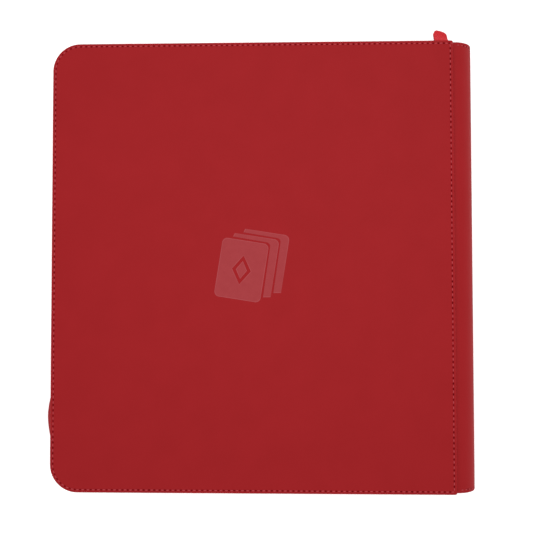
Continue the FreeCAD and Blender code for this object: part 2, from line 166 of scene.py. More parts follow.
def tube(path, normal, radius, sides=6, closed_ends=True):
    """Round section swept along a path that stays in the plane square to the normal."""
    path = np.asarray(path, float)
    normal = np.asarray(normal, float)
    tangents = np.gradient(path, axis=0)
    tangents /= np.linalg.norm(tangents, axis=1)[:, None]
    across = np.cross(tangents, normal)
    radii = np.broadcast_to(np.asarray(radius, float), (len(path),))
    turn = np.linspace(0, 2 * math.pi, sides, endpoint=False)
    points = []
    for p, a, r in zip(path, across, radii):
        for t in turn:
            points.append(p + a * math.cos(t) * r + normal * math.sin(t) * r)
    faces = loft(len(path), sides) if closed_ends else quads(len(path), sides, wrap_columns=True)
    return points, faces


def lengths_along(points, gap=0.0):
    """Distance run from the first point to each; gap stands for a step between equal points."""
    steps = [math.hypot(b[0] - a[0], b[1] - a[1]) or gap for a, b in zip(points, points[1:])]
    return np.cumsum([0] + steps)


def face_up(side, depth):
    """Height of a point that lies at a depth below the outer face of one cover."""
    return CLOSED - depth if side == "front" else depth


def turned(faces, flip):
    return [tuple(reversed(face)) for face in faces] if flip else faces


# ---- materials
def new_material(name, **sockets):
    made = bpy.data.materials.new(name)
    made.use_nodes = True
    tree = made.node_tree
    shader = tree.nodes["Principled BSDF"]
    for key, value in sockets.items():
        shader.inputs[key.replace("_", " ")].default_value = value
    return made, tree.nodes, tree.links, shader


def texture(nodes_of, links, kind, source, scale, **settings):
    """A texture node on a coordinate in metres."""
    node = nodes_of.new(kind)
    for key, value in settings.items():
        if key in node.inputs:
            node.inputs[key].default_value = value
        else:
            setattr(node, key, value)
    node.inputs["Scale"].default_value = scale
    links.new(source, node.inputs["Vector"])
    return node


def ramp(nodes_of, links, source, low, high, a, b):
    """A colour that goes from a to b while the source goes from low to high."""
    node = nodes_of.new("ShaderNodeValToRGB")
    for element, at, colour in zip(node.color_ramp.elements, (low, high), (a, b)):
        element.position = at
        element.color = (*colour, 1)
    links.new(source, node.inputs["Fac"])
    return node


def spread(nodes_of, links, source, low, high):
    """A value that follows a 0 to 1 source between two limits."""
    node = nodes_of.new("ShaderNodeMapRange")
    node.inputs["To Min"].default_value = low
    node.inputs["To Max"].default_value = high
    links.new(source, node.inputs["Value"])
    return node


def bump(nodes_of, links, source, distance, strength, before=None):
    node = nodes_of.new("ShaderNodeBump")
    node.inputs["Distance"].default_value = distance
    node.inputs["Strength"].default_value = strength
    links.new(source, node.inputs["Height"])
    if before:
        links.new(before.outputs["Normal"], node.inputs["Normal"])
    return node


def grained(name, dark, light, rough, patch=45, grain=1500, depth=0.05 * mm, strength=0.35, **sockets):
    """Leather, moulded plastic, lacquer and the like: soft patches of colour over a fine grain."""
    made, tree, links, shader = new_material(name, **sockets)
    place = tree.new("ShaderNodeTexCoord").outputs["Object"]
    broad = texture(tree, links, "ShaderNodeTexNoise", place, patch, Detail=3.0)
    colour = ramp(tree, links, broad.outputs["Fac"], 0.35, 0.65, dark, light)
    links.new(colour.outputs["Color"], shader.inputs["Base Color"])
    fine = texture(tree, links, "ShaderNodeTexNoise", place, grain * 0.4, Detail=4.0)
    gloss = spread(tree, links, fine.outputs["Fac"], rough - 0.06, rough + 0.06)
    links.new(gloss.outputs["Result"], shader.inputs["Roughness"])
    kind = dict(feature="SMOOTH_F1", Smoothness=0.6)
    cells = texture(tree, links, "ShaderNodeTexVoronoi", place, grain, **kind)
    low = bump(tree, links, cells.outputs["Distance"], depth, strength)
    top = bump(tree, links, fine.outputs["Fac"], depth * 2, strength * 0.5, low)
    links.new(top.outputs["Normal"], shader.inputs["Normal"])
    return made


def woven(name, dark, light, rough, threads=1800, depth=0.08 * mm, rib=1.0, skew=0.0, **sockets):
    """Cloth: so many crossing threads a metre, darker between them as painted shade in the weave's
    hollows, with uneven dye.
    """
    made, tree, links, shader = new_material(name, **sockets)
    on_cloth = tree.new("ShaderNodeAttribute")
    on_cloth.attribute_name = "along"
    mapping = tree.new("ShaderNodeMapping")
    mapping.inputs["Rotation"].default_value = (0, 0, skew)
    links.new(on_cloth.outputs["Vector"], mapping.inputs["Vector"])
    place = mapping.outputs["Vector"]
    wave = dict(wave_type="BANDS", wave_profile="SIN", Distortion=0.4)
    scale = threads * 2 * math.pi / 20  # at scale 1 the wave turns 20 radians in a metre
    weft = texture(tree, links, "ShaderNodeTexWave", place, scale * rib, bands_direction="X", **wave)
    warp = texture(tree, links, "ShaderNodeTexWave", place, scale, bands_direction="Y", **wave)
    cross = tree.new("ShaderNodeMath")
    cross.operation = "MULTIPLY"
    links.new(weft.outputs["Fac"], cross.inputs[0])
    links.new(warp.outputs["Fac"], cross.inputs[1])
    dye = texture(tree, links, "ShaderNodeTexNoise", place, threads * 0.5, Detail=3.0)
    # colour of the cloth: painted shade between the threads, where the weave is low, plus uneven dye
    shade_and_dye = tree.new("ShaderNodeMath")
    shade_and_dye.operation = "MULTIPLY_ADD"
    shade_and_dye.inputs[1].default_value = 0.7
    links.new(cross.outputs[0], shade_and_dye.inputs[0])
    patch = spread(tree, links, dye.outputs["Fac"], -0.1, 0.5)
    links.new(patch.outputs["Result"], shade_and_dye.inputs[2])
    colour = ramp(tree, links, shade_and_dye.outputs[0], 0.05, 0.8, dark, light)
    links.new(colour.outputs["Color"], shader.inputs["Base Color"])
    gloss = spread(tree, links, dye.outputs["Fac"], rough - 0.08, rough + 0.08)
    links.new(gloss.outputs["Result"], shader.inputs["Roughness"])
    lift = bump(tree, links, cross.outputs[0], depth, 0.7)
    links.new(lift.outputs["Normal"], shader.inputs["Normal"])
    return made


leather = grained(
    "red_leatherette", (0.284, 0.0079, 0.0103), (0.293, 0.0085, 0.0111), 0.60,
    Specular_IOR_Level=0.10,
)
thread = woven(
    "stitch_thread", (0.35, 0.028, 0.038), (0.50, 0.062, 0.075), 0.6, threads=1100, depth=0.05 * mm,
    skew=0.6, Sheen_Weight=0.1, Specular_IOR_Level=0.2,
)
# painted shade: the needle holes' dark colour stands in for the shade inside each hole
needle_hole_shade = grained(
    "needle_hole_shade", (0.125, 0.001, 0.003), (0.175, 0.002, 0.005), 0.9, grain=4000,
    Specular_IOR_Level=0.05,
)
frosted = grained(
    "pressed_emblem", (0.306, 0.030, 0.035), (0.318, 0.033, 0.038), 0.74, patch=160, grain=2600,
    Sheen_Weight=0.04, Sheen_Tint=(1.0, 0.7, 0.7, 1), Specular_IOR_Level=0.2,
)
frosted_edge = grained(
    "pressed_emblem_edge", (0.335, 0.048, 0.054), (0.350, 0.053, 0.060), 0.74, patch=160,
    grain=2600, Sheen_Weight=0.04, Specular_IOR_Level=0.2,
)
lining_cloth = woven("lining_cloth", (0.012, 0.012, 0.014), (0.055, 0.055, 0.060), 0.85, threads=1500)
tape_cloth = woven(
    "zip_tape_cloth", (0.22, 0.005, 0.009), (0.38, 0.014, 0.018), 0.80, threads=1500, rib=2.0,
    Specular_IOR_Level=0.08,
)
nylon = grained(
    "nylon_coil", (0.27, 0.008, 0.012), (0.33, 0.013, 0.017), 0.38, grain=3000, Coat_Weight=0.15
)
lacquer = grained(
    "red_lacquer", (0.36, 0.008, 0.012), (0.42, 0.012, 0.016), 0.26, patch=220, grain=2600,
    depth=0.02 * mm, Coat_Weight=0.6, Coat_Roughness=0.12,
)
ribbon_cloth = woven(
    "ribbon_cloth", (0.42, 0.006, 0.012), (0.66, 0.018, 0.024), 0.62, threads=900, rib=0.8,
    depth=0.16 * mm, skew=0.5, Sheen_Weight=0.05, Sheen_Tint=(1.0, 0.6, 0.6, 1),
    Specular_IOR_Level=0.15,
)
greyboard = grained("greyboard", (0.24, 0.20, 0.15), (0.32, 0.27, 0.20), 0.9, patch=300, grain=900)
black_plastic = grained("slat_plastic", (0.018, 0.018, 0.019), (0.03, 0.03, 0.031), 0.5, patch=120)
page_backing = grained(
    "page_backing", (0.012, 0.012, 0.014), (0.024, 0.024, 0.027), 0.62, patch=90, grain=1400,
    depth=0.06 * mm,
)
pocket_film = grained(
    "pocket_film", (0.030, 0.030, 0.034), (0.045, 0.045, 0.050), 0.22, patch=60, grain=700,
    strength=0.2, Coat_Weight=0.7, Coat_Roughness=0.08, IOR=1.49,
)
black_thread = grained("black_thread", (0.02, 0.02, 0.022), (0.05, 0.05, 0.055), 0.7, grain=5000)
weld = grained("weld_line", (0.006, 0.006, 0.008), (0.014, 0.014, 0.017), 0.35, grain=1800)


# ---- outline of a cover
def outline(inset):
    """Closed outline of a cover, anticlockwise from above, this far inside its edge.

    Its corners are round at the fore edge and nearly square at the seam. Outlines at
    different insets have matching points."""
    left, right = -HALF_WIDTH + inset, HALF_WIDTH - inset
    low, high = -HALF_HEIGHT + inset, HALF_HEIGHT - inset
    fore = max(CORNER - inset, SHARP)
    seam = max(SEAM_CORNER - inset, SHARP)

    def arc(x, y, radius, start, count):
        turns = np.radians(start + 90 * np.arange(count) / count)
        return [(x + radius * math.cos(t), y + radius * math.sin(t)) for t in turns]

    def straight(a, b, count):
        return [tuple(np.array(a) + (np.array(b) - a) * i / count) for i in range(count)]

    points = arc(right - seam, high - seam, seam, 0, 4)
    points += straight((right - seam, high), (left + fore, high), 72)
    points += arc(left + fore, high - fore, fore, 90, 18)
    points += straight((left, high - fore), (left, low + fore), 78)
    points += arc(left + fore, low + fore, fore, 180, 18)
    points += straight((left + fore, low), (right - seam, low), 72)
    points += arc(right - seam, low + seam, seam, 270, 4)
    points += straight((right, low + seam), (right, high - seam), 84)
    return np.array(points)


def free_edge(inset, step, first=0.0, end=ZIP_END):
    """Even stations along the three free sides, from the spine's upper end round to its lower.

    Each is an anchor and an outward normal, and its place is anchor + normal * (CORNER - inset)."""
    x, y = HALF_WIDTH - CORNER, HALF_HEIGHT - CORNER
    run, side = end + x, 2 * y
    bend = (CORNER - inset) * math.pi / 2
    stops = np.cumsum([0, run, bend, side, bend, run])
    at = np.arange(first, stops[-1], step)
    turns = np.interp(at, stops, np.radians([90, 90, 180, 180, 270, 270]))
    across = np.interp(at, stops, [end, -x, -x, -x, -x, end])
    up = np.interp(at, stops, [y, y, y, -y, -y, -y])
    return np.column_stack((across, up)), np.column_stack((np.cos(turns), np.sin(turns)))


# ---- stitches
THREAD = 2.35 * mm
THREAD_RADIUS = 0.36 * mm
THREAD_RISE = 0.06 * mm
THREAD_STATIONS = (  # place and width as shares of the thread, and lift in mm
    (-0.5, 0.45, -0.30), (-0.40, 0.85, -0.10), (-0.2, 1.0, 0.02), (0, 1.0, 0.05),
    (0.2, 1.0, 0.02), (0.40, 0.85, -0.10), (0.5, 0.45, -0.30),
)
THREAD_SIDES = 6
HOLE = (0.84 * mm, 0.62 * mm)
HOLE_LIFT, HOLE_DEPTH, GROOVE_SLOPE = 0.03 * mm, 0.3 * mm, 0.36
draw = random.Random(11)


def stitch(parts, middle, forward, up, size=1.0, slot=0):
    """One thread between two needle holes, lying on a surface at middle."""
    forward, up = np.asarray(forward, float), np.asarray(up, float)
    across = np.cross(up, forward)
    lean = math.radians(draw.uniform(-4, 6))
    forward, across = (
        forward * math.cos(lean) + across * math.sin(lean),
        across * math.cos(lean) - forward * math.sin(lean),
    )
    length = THREAD * size * draw.uniform(0.93, 1.04)
    shift = across * draw.uniform(-0.06, 0.06) * mm
    points = []
    for along, width, lift in THREAD_STATIONS:
        centre = middle + shift + forward * along * length + up * (lift * mm + THREAD_RISE)
        for k in range(THREAD_SIDES):
            t = 2 * math.pi / THREAD_SIDES * k
            radius = THREAD_RADIUS * width * size
            points.append(centre + (across * math.cos(t) + up * 0.6 * math.sin(t)) * radius)
    sides = [k * 0.3 * mm for k in range(THREAD_SIDES)]
    place = [(along * length, side, 0) for along, _, _ in THREAD_STATIONS for side in sides]
    parts.add(points, loft(len(THREAD_STATIONS), THREAD_SIDES), slot, place)


def needle_mark(parts, middle, forward, up, size=1.0):
    """The hole between two stitches, a shallow dish that follows the groove's sides; its dark colour is
    painted shade for the hole's depth.
    """
    forward, up = np.asarray(forward, float), np.asarray(up, float)
    across = np.cross(up, forward)
    points = [middle + up * HOLE_LIFT]
    for k in range(10):
        t = math.pi / 5 * k
        ahead, aside = HOLE[0] * math.cos(t) * size, HOLE[1] * math.sin(t) * size
        rise = HOLE_LIFT + abs(aside) * GROOVE_SLOPE
        points.append(middle + forward * ahead + across * aside + up * rise)
    rim = [p - up * HOLE_DEPTH for p in points[1:]]
    faces = [(0, 1 + k, 1 + (k + 1) % 10) for k in range(10)]
    faces += [(1 + k, 11 + k, 11 + (k + 1) % 10, 1 + (k + 1) % 10) for k in range(10)]
    parts.add(points + rim, faces, 1)


def sew(parts, places, forwards, ups, size=1.0):
    """A row of stitches at even places, with a needle mark half way to the next one."""
    for index, (place, forward, up) in enumerate(zip(places, forwards, ups)):
        stitch(parts, np.asarray(place), forward, up, size)
        if index + 1 < len(places):
            between = (np.asarray(place) + places[index + 1]) / 2
            needle_mark(parts, between, forward, up, size)


def sew_free_sides(parts, inset, level, up, size=1.0, **stretch):
    """A row round the three free sides of a cover, this far inside its edge."""
    anchors, normals = free_edge(inset, STITCH_PITCH, **stretch)
    places = [(*(a + n * (CORNER - inset)), level) for a, n in zip(anchors, normals)]
    sew(parts, places, [(-n[1], n[0], 0) for n in normals], [up] * len(places), size)


# ---- covers
COVER_PROFILE = (  # inset from the edge and depth below the outer face, in mm, from the lining outwards
    (1.15, 1.0), (1.15, 2.7), (0.95, 2.95), (0.55, 3.0), (0.2, 2.85), (0.03, 2.5), (0.0, 2.0),
    (0.0, 1.4), (0.06, 1.0), (0.25, 0.62), (0.55, 0.32), (0.95, 0.13), (1.35, 0.07), (1.8, 0.12),
    (2.15, 0.22), (2.5, 0.34), (2.85, 0.22), (3.2, 0.12), (3.8, 0.04), (5.0, 0.0), (8.0, 0.0),
    (14.0, 0.0), (22.0, 0.0), (40.0, 0.0), (70.0, 0.0), (100.0, 0.0), (130.0, 0.0), (150.0, 0.0),
)


def cover_skin(side):
    rings = [outline(inset * mm) for inset, _ in COVER_PROFILE]
    points = []
    for (_, depth), ring in zip(COVER_PROFILE, rings):
        points += [(x, y, face_up(side, depth * mm)) for x, y in ring]
    faces = turned(loft(len(rings), len(rings[0]), flip=True), side == "back")
    skin = piece(f"{side}_cover_leather", points, faces, leather)
    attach(skin, f"{side}_cover")
    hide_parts(f"{side}_cover_skin")


def cover_stitching(side):
    """One row round the three free sides, and one down the seam that crosses it at both ends."""
    parts = Parts()
    level = face_up(side, GROOVE)
    up = (0, 0, 1 if side == "front" else -1)
    sew_free_sides(parts, STITCH_INSET, level, up, end=HALF_WIDTH - ROW_END)
    count = int(2 * (HALF_HEIGHT - ROW_END) / STITCH_PITCH)
    heights = (np.arange(count) - (count - 1) / 2) * STITCH_PITCH
    seam = [(HALF_WIDTH - STITCH_INSET, y, level) for y in heights]
    sew(parts, seam, [(0, 1, 0)] * count, [up] * count)
    row = parts.piece(f"{side}_cover_stitching", [thread, needle_hole_shade])
    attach(row, f"{side}_cover")


for cover_side in ("back", "front"):
    cover_skin(cover_side)
    cover_stitching(cover_side)


# ---- generic emblem
CARD = (37 * mm, 47 * mm)
CARD_CORNER = 4 * mm
FAN_OFFSET = np.array((7.6 * mm, 4.6 * mm))
FAN_GAP = 1.7 * mm
EMBLEM_LEAN = math.radians(-9)
EMBLEM_RISE = 0.07 * mm
EMBLEM_SUNK = -0.05 * mm
EMBLEM_BEVEL = 0.04 * mm
EMBLEM_EDGE = 0.6 * mm
RHOMBUS_OPENING = (15 * mm, 23 * mm)
RHOMBUS = (9 * mm, 14.5 * mm)
SLIVER_OUT, SLIVER_IN = 1.2 * mm, 0.2 * mm


def card_outline(width, height, corner, shift=(0, 0), count=8):
    """Rounded rectangle, anticlockwise."""
    points = []
    for index, (sx, sy) in enumerate(((1, 1), (-1, 1), (-1, -1), (1, -1))):
        cx, cy = sx * (width / 2 - corner) + shift[0], sy * (height / 2 - corner) + shift[1]
        for k in range(count + 1):
            t = math.pi / 2 * (index + k / count)
            points.append((cx + corner * math.cos(t), cy + corner * math.sin(t)))
        run = (width if index % 2 == 0 else height) - 2 * corner
        t = math.pi / 2 * (index + 1)
        end = points[-1]
        for k in range(1, 2 * count):
            reach = run * k / (2 * count)
            points.append((end[0] - math.sin(t) * reach, end[1] + math.cos(t) * reach))
    return points


def emblem_shape(parts, outer, inner=None):
    """A thin pressed shape with a softened edge, solid or with an opening."""
    def place(points, grow, rise):
        away = np.array(points) - np.mean(points, axis=0)
        grown = points + away / np.linalg.norm(away, axis=1)[:, None] * grow
        c, s = math.cos(EMBLEM_LEAN), math.sin(EMBLEM_LEAN)
        return [(x * c - y * s, x * s + y * c, CLOSED + rise) for x, y in grown]

    count = len(outer)
    rings = place(outer, 0, EMBLEM_SUNK) + place(outer, -EMBLEM_BEVEL, EMBLEM_RISE * 0.7)
    rings += place(outer, -EMBLEM_EDGE, EMBLEM_RISE)
    if inner is None:
        faces = loft(3, count, flip=True)
        slots = [1] * (2 * count) + [0, 0]
    else:
        rings += place(inner, EMBLEM_EDGE, EMBLEM_RISE)
        rings += place(inner, EMBLEM_BEVEL, EMBLEM_RISE * 0.7) + place(inner, 0, EMBLEM_SUNK)
        faces = quads(6, count, wrap_rows=True, wrap_columns=True)
        slots = [slot for slot in (1, 1, 0, 1, 1, 1) for _ in range(count)]
    parts.add(rings, faces, slots)


def rhombus(width, height, angles, shift):
    """Points of a rhombus in the same directions as another outline's points."""
    points = []
    for t in angles:
        reach = 1 / (abs(math.cos(t)) / (width / 2) + abs(math.sin(t)) / (height / 2))
        points.append((reach * math.cos(t) + shift[0], reach * math.sin(t) + shift[1]))
    return points


def card_corner(x, y, start, end):
    """The rounded corner of a card whose sides would meet at x, y."""
    return [
        (x - CARD_CORNER + CARD_CORNER * math.cos(t), y - CARD_CORNER + CARD_CORNER * math.sin(t))
        for t in np.radians(np.linspace(start, end, 9))
    ]


def emblem():
    """Three stacked cards, the front one with a rhombus in its middle."""
    parts = Parts()
    middle = -FAN_OFFSET
    front_card = card_outline(*CARD, CARD_CORNER, middle)
    angles = [math.atan2(y - middle[1], x - middle[0]) for x, y in front_card]
    emblem_shape(parts, front_card, rhombus(*RHOMBUS_OPENING, angles, middle))
    emblem_shape(parts, rhombus(*RHOMBUS, angles, middle))
    for behind in (1, 2):
        shift, half = middle + FAN_OFFSET * behind, np.array(CARD) / 2
        (left, low), (right, top) = shift - half, shift + half
        in_right, in_top = shift - FAN_OFFSET + half + FAN_GAP
        strip = [(right, low + SLIVER_OUT), *card_corner(right, top, 0, 90), (left + SLIVER_OUT, top)]
        strip += [(left + SLIVER_IN, in_top), *card_corner(in_right, in_top, 90, 0)]
        strip.append((in_right, low + SLIVER_IN))
        emblem_shape(parts, strip)
    mark = parts.piece("front_cover_emblem", [frosted, frosted_edge])
    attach(mark, "front_cover")


emblem()

# ---- spine
SEAM_TUCK = 1.6 * mm
LINING_TUCK = 0.4 * mm
CREASE = 0.45 * mm
CREASE_DIP = 0.12 * mm
SPINE_STEP = 0.7 * mm
HEM_REACH = 4.8 * mm
SEAM_VALLEY = (0.30 * mm, 0.7 * mm, 0.6 * mm)  # depth, distance from the seam and width
SEAM_PUCKER = (0.16 * mm, 1.9 * mm, 0.5 * mm)
HEM_INSET, HEM_PITCH, HEM_SUNK = 2.6 * mm, 3.6 * mm, 0.08 * mm
HEM_FREE, HEM_MARGIN = 1.4 * mm, 0.9 * mm
HEM = (  # inset from the end and dip, in mm
    (0.0, 0.55), (0.15, 0.22), (0.45, 0.06), (1.0, 0.0), (1.9, 0.06), (2.6, 0.22), (3.3, 0.06), (4.4, 0.0),
)


def spine_place(s, radius, outer):
    """A point of the spine's section: s runs along its outer face from the back seam upwards."""
    middle = CLOSED / 2
    span = math.pi * outer
    if s < 0:
        return SPINE_X + s, middle - radius
    if s > span:
        return SPINE_X - (s - span), middle + radius
    t = s / outer - math.pi / 2
    return SPINE_X + radius * math.cos(t), middle + radius * math.sin(t)


def flat_over_slat(turn):
    """How much further out than a round lining a lining lies that is flat on each slat."""
    if not 0 <= turn <= math.pi:
        return 1 / math.cos(STEP / 2) - 1
    return 1 / math.cos(turn % STEP - STEP / 2) - 1


def dent(away, depth, at, width):
    return depth * math.exp(-((away - at) / width) ** 2)


def spine_sheet(name, start, end, outer, thickness, half, finish, creased, seam=None):
    """One stretch of the spine's skin or lining as a closed sheet with rolled ends.

    Beside a seam it dips into a valley that the stitches pull in a little more."""
    steps = max(6, int((end - start) / SPINE_STEP))
    along = np.linspace(start, end, steps + 1)
    creases = [index % (steps + 1) for index in creased]
    ends = [(half - inset * mm, dip * mm) for inset, dip in HEM]
    inside = np.linspace(-half + HEM_REACH, half - HEM_REACH, 340 if seam is not None else 44)
    rows = [(-y, dip) for y, dip in ends] + [(y, 0.0) for y in inside] + ends[::-1]
    points, place = [], []
    for y, dip in rows:
        loop = []
        for index, s in enumerate(along):
            edge = CREASE_DIP if index in creases else 0.0
            if seam is not None:
                away = abs(s - seam)
                pull = 0.5 + 0.5 * math.sin(2 * math.pi * y / STITCH_PITCH + 0.6 * math.sin(y * 57))
                edge += dent(away, *SEAM_VALLEY) + pull * dent(away, *SEAM_PUCKER)
            loop.append((s, outer - dip * thickness / SPINE_THICKNESS - edge))
        back = [(s, outer - thickness) for s in along[::-1]]
        for s, radius in loop + back:
            if finish is lining_cloth:
                radius += outer * flat_over_slat(s / outer)
            x, z = spine_place(s, radius, outer)
            points.append((x, y, z))
            place.append((s, y, 0))
    return piece(name, points, loft(len(rows), 2 * len(along)), finish, sharp=50, along=place)


def hem_stitching(name, start, end, outer, half):
    """The stitches of one stretch along both ends of the spine."""
    parts = Parts()
    first = math.ceil((max(start, HEM_FREE) + HEM_MARGIN) / HEM_PITCH)
    last = int((min(end, math.pi * outer - HEM_FREE) - HEM_MARGIN) / HEM_PITCH)
    for y in (-half + HEM_INSET, half - HEM_INSET):
        places, forwards, ups = [], [], []
        for k in range(first, last + 1):
            x, z = spine_place(k * HEM_PITCH, outer - HEM_SUNK, outer)
            t = k * HEM_PITCH / outer - math.pi / 2
            places.append((x, y, z))
            forwards.append((-math.sin(t), 0, math.cos(t)))
            ups.append((math.cos(t), 0, math.sin(t)))
        sew(parts, places, forwards, ups, 0.8)
    return parts.piece(name, [thread, needle_hole_shade])


def bend_between(thing, first, second, fold, reach, outer):
    """Bakes a spine sheet's placing into its mesh, and leaves it unbent."""
    (x0, z0), (x1, z1) = (spine_place(s, outer, outer) for s in (fold - reach, fold + reach))
    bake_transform(thing)


def spine_layer(node, outer, thickness, half, finish, tuck):
    """Five stretches over the slats: one rides on the middle slat, and the four others stay unbent where
    they are built.
    """
    arc = STEP * outer
    quarter = arc / 2
    stretches = (
        ("1", -tuck, quarter, (), "back_cover", "spine_slat_1", 0.0),
        ("2", quarter, 2 * arc - CREASE, (-1,), "spine_slat_1", "spine_slat_2", arc),
        ("3", 2 * arc + CREASE, 3 * arc - CREASE, (0, -1), None, None, None),
        ("4", 3 * arc + CREASE, 5 * arc - quarter, (0,), "spine_slat_4", "spine_slat_5", 4 * arc),
        ("5", 5 * arc - quarter, 5 * arc + tuck, (), "spine_slat_5", "front_cover", 5 * arc),
    )
    for number, start, end, creased, first, second, fold in stretches:
        seam = {"1": 0.0, "5": 5 * arc}.get(number) if node == "spine_skin" else None
        name = f"{node}_{number}"
        sheet = spine_sheet(name, start, end, outer, thickness, half, finish, creased, seam)
        made = [sheet]
        if node == "spine_skin":
            made.append(hem_stitching(f"{name}_stitching", start, end, outer, half))
        for thing in made:
            if first is None:
                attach(thing, "spine_slat_3")
            else:
                bend_between(thing, first, second, fold, quarter * 0.98, outer)
        if first is None:
            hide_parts(node)


def crease_cords(name, radius_at, radius, half, finish):
    """The soft rolls in the two creases beside the middle slat."""
    for label, turn in (("low", -STEP / 2), ("high", STEP / 2)):
        x = SPINE_X + radius_at * math.cos(turn)
        z = CLOSED / 2 + radius_at * math.sin(turn)
        path = [(x, y, z) for y in np.linspace(-half, half, 60)]
        points, faces = tube(path, (0, 0, 1), radius, 10)
        cord = piece(f"{name}_{label}", points, faces, finish)
        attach(cord, "spine_slat_3")


ROLL_INSET = 0.6 * mm
ROLL_DEPTH = 0.47 * mm
LINING_ROLL = 0.5 * mm
lining_out, lining_half = LINING_OUTER / math.cos(STEP / 2), LINING_HIGH.y
spine_layer("spine_skin", SPINE_OUTER, SPINE_THICKNESS, SPINE_HALF, leather, SEAM_TUCK)
spine_layer(
    "spine_lining", LINING_OUTER, LINING_THICKNESS, lining_half, lining_cloth, LINING_TUCK
)
crease_cords(
    "spine_crease", SPINE_OUTER - ROLL_DEPTH, CREASE, SPINE_HALF - ROLL_INSET, leather
)
crease_cords(
    "lining_crease", lining_out - LINING_ROLL, LINING_ROLL, lining_half - ROLL_INSET, lining_cloth,
)

# ---- zip
BULGE = 8.3 * mm
BULGE_AT, BULGE_REACH = -0.121, 0.046
BULGE_LEAN = 1.6
RIPPLE = 0.45 * mm
TAPE_STEP = 2.0 * mm
FLANGE_SEAM, FLANGE_FACE = 5.6 * mm, 3.41 * mm


def bulge(x, y, z):
    """How far the tape stands out at the fore edge, where the closed zip is a little slack."""
    across = max(0.0, 1 - abs(y - BULGE_AT) / BULGE_REACH)
    if x > -HALF_WIDTH + CORNER or across <= 0:
        return 0.0
    rise = (z - COVER_THICKNESS) / (CLOSED - 2 * COVER_THICKNESS)
    return BULGE * (across * across * (3 - 2 * across)) * math.sin(
        math.pi * min(max(rise, 0), 1) ** BULGE_LEAN
    )


def ripple(s, rise):
    """Small unevenness of the standing tape, none where it is sewn down or held by the coil."""
    wave = math.sin(s * 61) * 0.5 + math.sin(s * 23 + 1.3) * 0.35 + math.sin(s * 140 + 0.4) * 0.15
    return RIPPLE * wave * math.sin(math.pi * rise)


def zip_place(anchor, normal, inset, height, s, side):
    rise = min(max((height - COVER_THICKNESS) / (CLOSED / 2 - COVER_THICKNESS), 0), 1)
    z = face_up(side, height)
    p = anchor + normal * (CORNER - inset)
    out = bulge(p[0], p[1], z) + ripple(s, rise)
    return (*(p + normal * out), z)


TAPE_SECTION = (  # inset and height above the cover's outer face, in mm
    [(2.3, h) for h in (3.0, 4.0, 6.0, 8.0, 10.0, 12.0, 14.0, 15.5, 16.6)]
    + [(2.4, 17.3), (2.7, 17.45), (3.0, 17.3)]
    + [(3.1, h) for h in (16.6, 15.5, 14.0, 12.0, 10.0, 8.0, 6.0, 4.6)]
    + [(3.25, 3.8), (3.8, 3.45), (6.0, 3.4), (8.0, 3.4), (10.7, 3.4), (11.0, 3.25), (10.9, 3.02)]
)


def zip_tape(side):
    anchors, normals = free_edge(TAPE_OUTER, TAPE_STEP)
    points, place = [], []
    for anchor, normal, s in zip(anchors, normals, lengths_along(anchors, TAPE_STEP)):
        for (inset, height), v in zip(TAPE_SECTION, lengths_along(TAPE_SECTION)):
            points.append(zip_place(anchor, normal, inset * mm, height * mm, s, side))
            place.append((s, v * mm, 0))
    faces = turned(loft(len(anchors), len(TAPE_SECTION)), side == "back")
    tape = piece(f"{side}_zip_tape_cloth", points, faces, tape_cloth, along=place)
    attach(tape, f"{side}_cover")
    row = Parts()
    up = (0, 0, 1 if side == "back" else -1)
    level = face_up(side, FLANGE_FACE)
    sew_free_sides(row, FLANGE_SEAM, level, up, 0.8, first=3 * mm, end=ZIP_END - 2 * mm)
    seam = row.piece(f"{side}_zip_tape_stitching", [thread, needle_hole_shade])
    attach(seam, f"{side}_cover")
    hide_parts(f"{side}_zip_tape")


TOOTH = (  # outward place and height of one turn of the coil, in mm
    (0.95, 16.9), (0.98, 17.6), (0.98, 18.4), (0.75, 19.05), (0.0, 19.3), (-0.75, 19.05),
    (-0.98, 18.4), (-0.98, 17.6), (-0.95, 16.9),
)
TOOTH_RADII = np.array([0.30, 0.33, 0.34, 0.40, 0.44, 0.40, 0.34, 0.33, 0.30]) * mm


def zip_coil(side):
    """A row of coil turns whose heads pass between those of the other half."""
    parts = Parts()
    first = COIL_START if side == "back" else COIL_START + TOOTH_PITCH / 2
    anchors, normals = free_edge(COIL_INSET, TOOTH_PITCH, first)
    for index, (anchor, normal) in enumerate(zip(anchors, normals)):
        s = first + index * TOOTH_PITCH
        if normal[1] == -1 and anchor[0] > ZIP_END - COIL_START:
            continue
        path = [
            zip_place(anchor, normal, COIL_INSET - out * mm, height * mm, s, side) for out, height in TOOTH
        ]
        tangent = (-normal[1], normal[0], 0)
        points, faces = tube(path, tangent, TOOTH_RADII, 6)
        parts.add(points, faces)
    coil = parts.piece(f"{side}_zip_coil_turns", nylon)
    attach(coil, f"{side}_cover")
    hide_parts(f"{side}_zip_coil")


for cover_side in ("back", "front"):
    zip_tape(cover_side)
    zip_coil(cover_side)


# ---- slider, pull and ribbon
def rounded_block(low, high, radius, count=3):
    """A box with rounded edges, as points and faces."""
    low, high = np.array(low, float), np.array(high, float)
    radius = min(radius, *((high - low) / 2 * 0.98))
    inner_low, inner_high = low + radius, high - radius
    points, faces = [], []
    steps = np.linspace(-1, 1, 2 * count + 2)
    index = {}

    def vertex(direction):
        d = np.array(direction, float)
        corner = np.where(d > 0, inner_high, inner_low)
        p = corner + d / np.linalg.norm(d) * radius
        key = tuple(np.round(p, 7))
        if key not in index:
            index[key] = len(points)
            points.append(tuple(p))
        return index[key]

    for axis in range(3):
        for sign in (-1, 1):
            for i in range(len(steps) - 1):
                for j in range(len(steps) - 1):
                    cell = ((i, j), (i + 1, j), (i + 1, j + 1), (i, j + 1))
                    corners = [vertex(np.roll((sign, steps[a], steps[b]), axis)) for a, b in cell]
                    kept = tuple(dict.fromkeys(corners[::sign]))
                    if len(kept) > 2:
                        faces.append(kept)
    return points, faces


